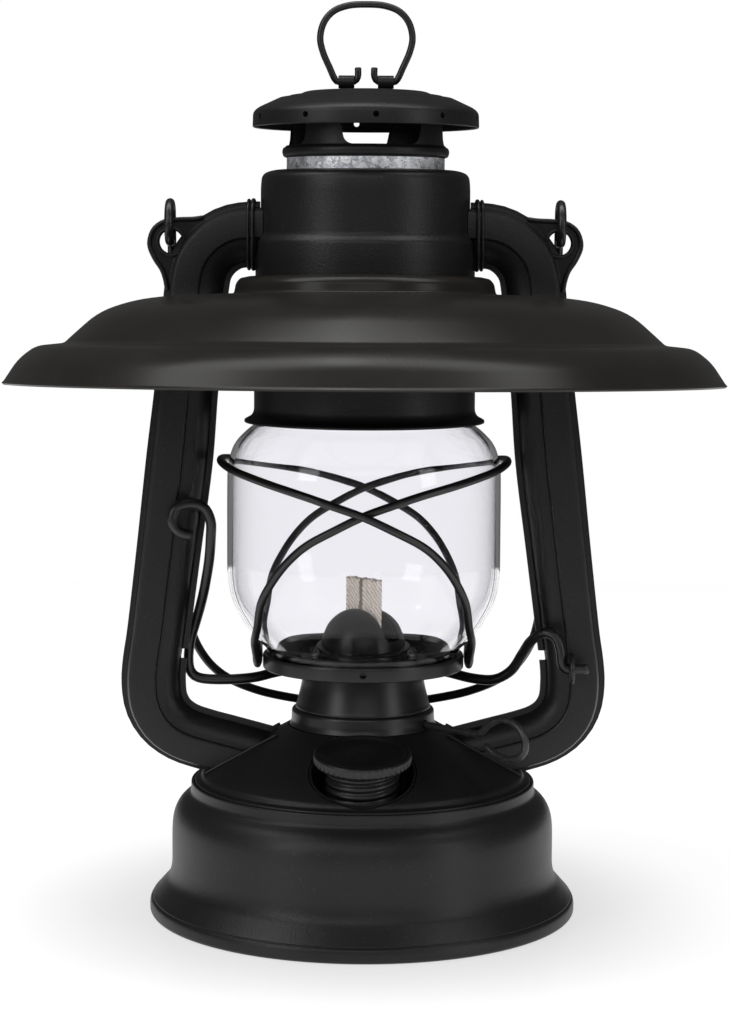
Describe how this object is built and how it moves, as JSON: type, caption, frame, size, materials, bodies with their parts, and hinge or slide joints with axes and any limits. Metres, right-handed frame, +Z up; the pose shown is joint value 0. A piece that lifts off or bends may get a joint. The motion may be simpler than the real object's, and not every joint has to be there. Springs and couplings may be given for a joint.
{
  "type": "barn lantern",
  "caption": "Cold-blast oil lantern with a dished reflector shade, wire-guarded glass globe on a lever-lifted plate, side air tubes, tank with screw filler cap, wire bail and hanging ring.",
  "frame": {"origin": "centre of the base on the surface it stands on", "axes": "+Z up the lantern's axis, -Y the front with the filler cap, +X the side of the lever's eye"},
  "size_m": [0.2236, 0.2236, 0.2833],
  "materials": {
    "satin_black": "satin black enamel",
    "gloss_black": "gloss black enamel",
    "zinc": "spangled galvanised steel",
    "spring_steel": "plain steel",
    "clear_glass": "clear pressed glass",
    "cotton": "braided cotton",
    "cork": "cork"
  },
  "bodies": {
    "frame": {"tank_shell": "satin_black", "tank_bottom": "satin_black", "tank_top": "satin_black", "air_chamber_floor": "zinc", "filler_neck": "satin_black", "burner_collar": "satin_black", "burner_body": "satin_black", "burner_dome": "satin_black", "wick_tube": "zinc", "left_tube_front": "satin_black", "left_tube_back": "satin_black", "right_tube_front": "satin_black", "right_tube_back": "satin_black", "left_tube_socket": "satin_black", "right_tube_socket": "satin_black", "bell": "satin_black", "bell_skirt": "satin_black", "chimney_spring": "spring_steel", "lever_eye": "satin_black"},
    "carriage": {"globe_plate": "satin_black", "globe": "clear_glass", "guard_tab_left": "satin_black", "guard_tab_right": "satin_black", "guard_hoop_left": "satin_black", "guard_hoop_right": "satin_black"},
    "hood": {"globe_cap": "satin_black", "chimney_tube": "zinc", "vent_ring": "satin_black", "hood": "satin_black", "ring_eye_left": "satin_black", "ring_eye_right": "satin_black"},
    "top_ring": {"top_ring": "satin_black"},
    "lever": {"lift_lever": "satin_black"},
    "bail": {"bail": "satin_black"},
    "shade": {"shade": "gloss_black"},
    "filler_gasket": {"filler_seal": "cork"},
    "filler_cap": {"filler_cap": "satin_black"},
    "wick_winder": {"wick_knob": "spring_steel", "spur_wheel_1": "spring_steel", "spur_wheel_2": "spring_steel"},
    "wick": {"wick": "cotton"}
  },
  "joints": [
    {"name": "lever_lift", "type": "hinge", "parent": "frame", "child": "lever", "pos_m": [0.0644, -0.0143, 0.0789], "axis": [0, 1, 0], "range_deg": [0, 4.6]},
    {"name": "globe_lift", "type": "slide", "parent": "frame", "child": "carriage", "axis": [0, 0, 1], "range_m": [0, 0.0074], "deforming": ["chimney_spring"]},
    {"name": "hood_lift", "type": "slide", "parent": "carriage", "child": "hood", "axis": [0, 0, 1], "range_m": [0, 0.012], "deforming": ["chimney_spring"]},
    {"name": "top_ring_swing", "type": "hinge", "parent": "hood", "child": "top_ring", "pos_m": [0, 0, 0.25875], "axis": [1, 0, 0], "range_deg": [-85, 85]},
    {"name": "bail_swing", "type": "hinge", "parent": "frame", "child": "bail", "pos_m": [0, 0, 0.2097], "axis": [1, 0, 0], "range_deg": [0, 10]},
    {"name": "shade_lift", "type": "slide", "parent": "frame", "child": "shade", "axis": [0, 0, 1], "range_m": [0, 0.12]},
    {"name": "filler_lift", "type": "slide", "parent": "frame", "child": "filler_gasket", "axis": [0, -0.1736, 0.9848], "range_m": [0, 0.00521]},
    {"name": "filler_turn", "type": "hinge", "parent": "filler_gasket", "child": "filler_cap", "pos_m": [0, -0.0355, 0.0437], "axis": [0, -0.1736, 0.9848], "range_deg": [0, 720]},
    {"name": "wick_turn", "type": "hinge", "parent": "frame", "child": "wick_winder", "pos_m": [0.00389, 0.00389, 0.0608], "axis": [0.7071, -0.7071, 0], "range_deg": [-82, 82]},
    {"name": "wick_feed", "type": "slide", "parent": "frame", "child": "wick", "axis": [0, 0, 1], "range_m": [-0.006, 0.006]}
  ],
  "couplings": [
    {"joint": "globe_lift", "follows": "lever_lift", "m_per_rad": 0.0904},
    {"joint": "filler_lift", "follows": "filler_turn", "m_per_rad": 0.000414},
    {"joint": "wick_turn", "follows": "wick_feed", "rad_per_m": -238.1}
  ]
}
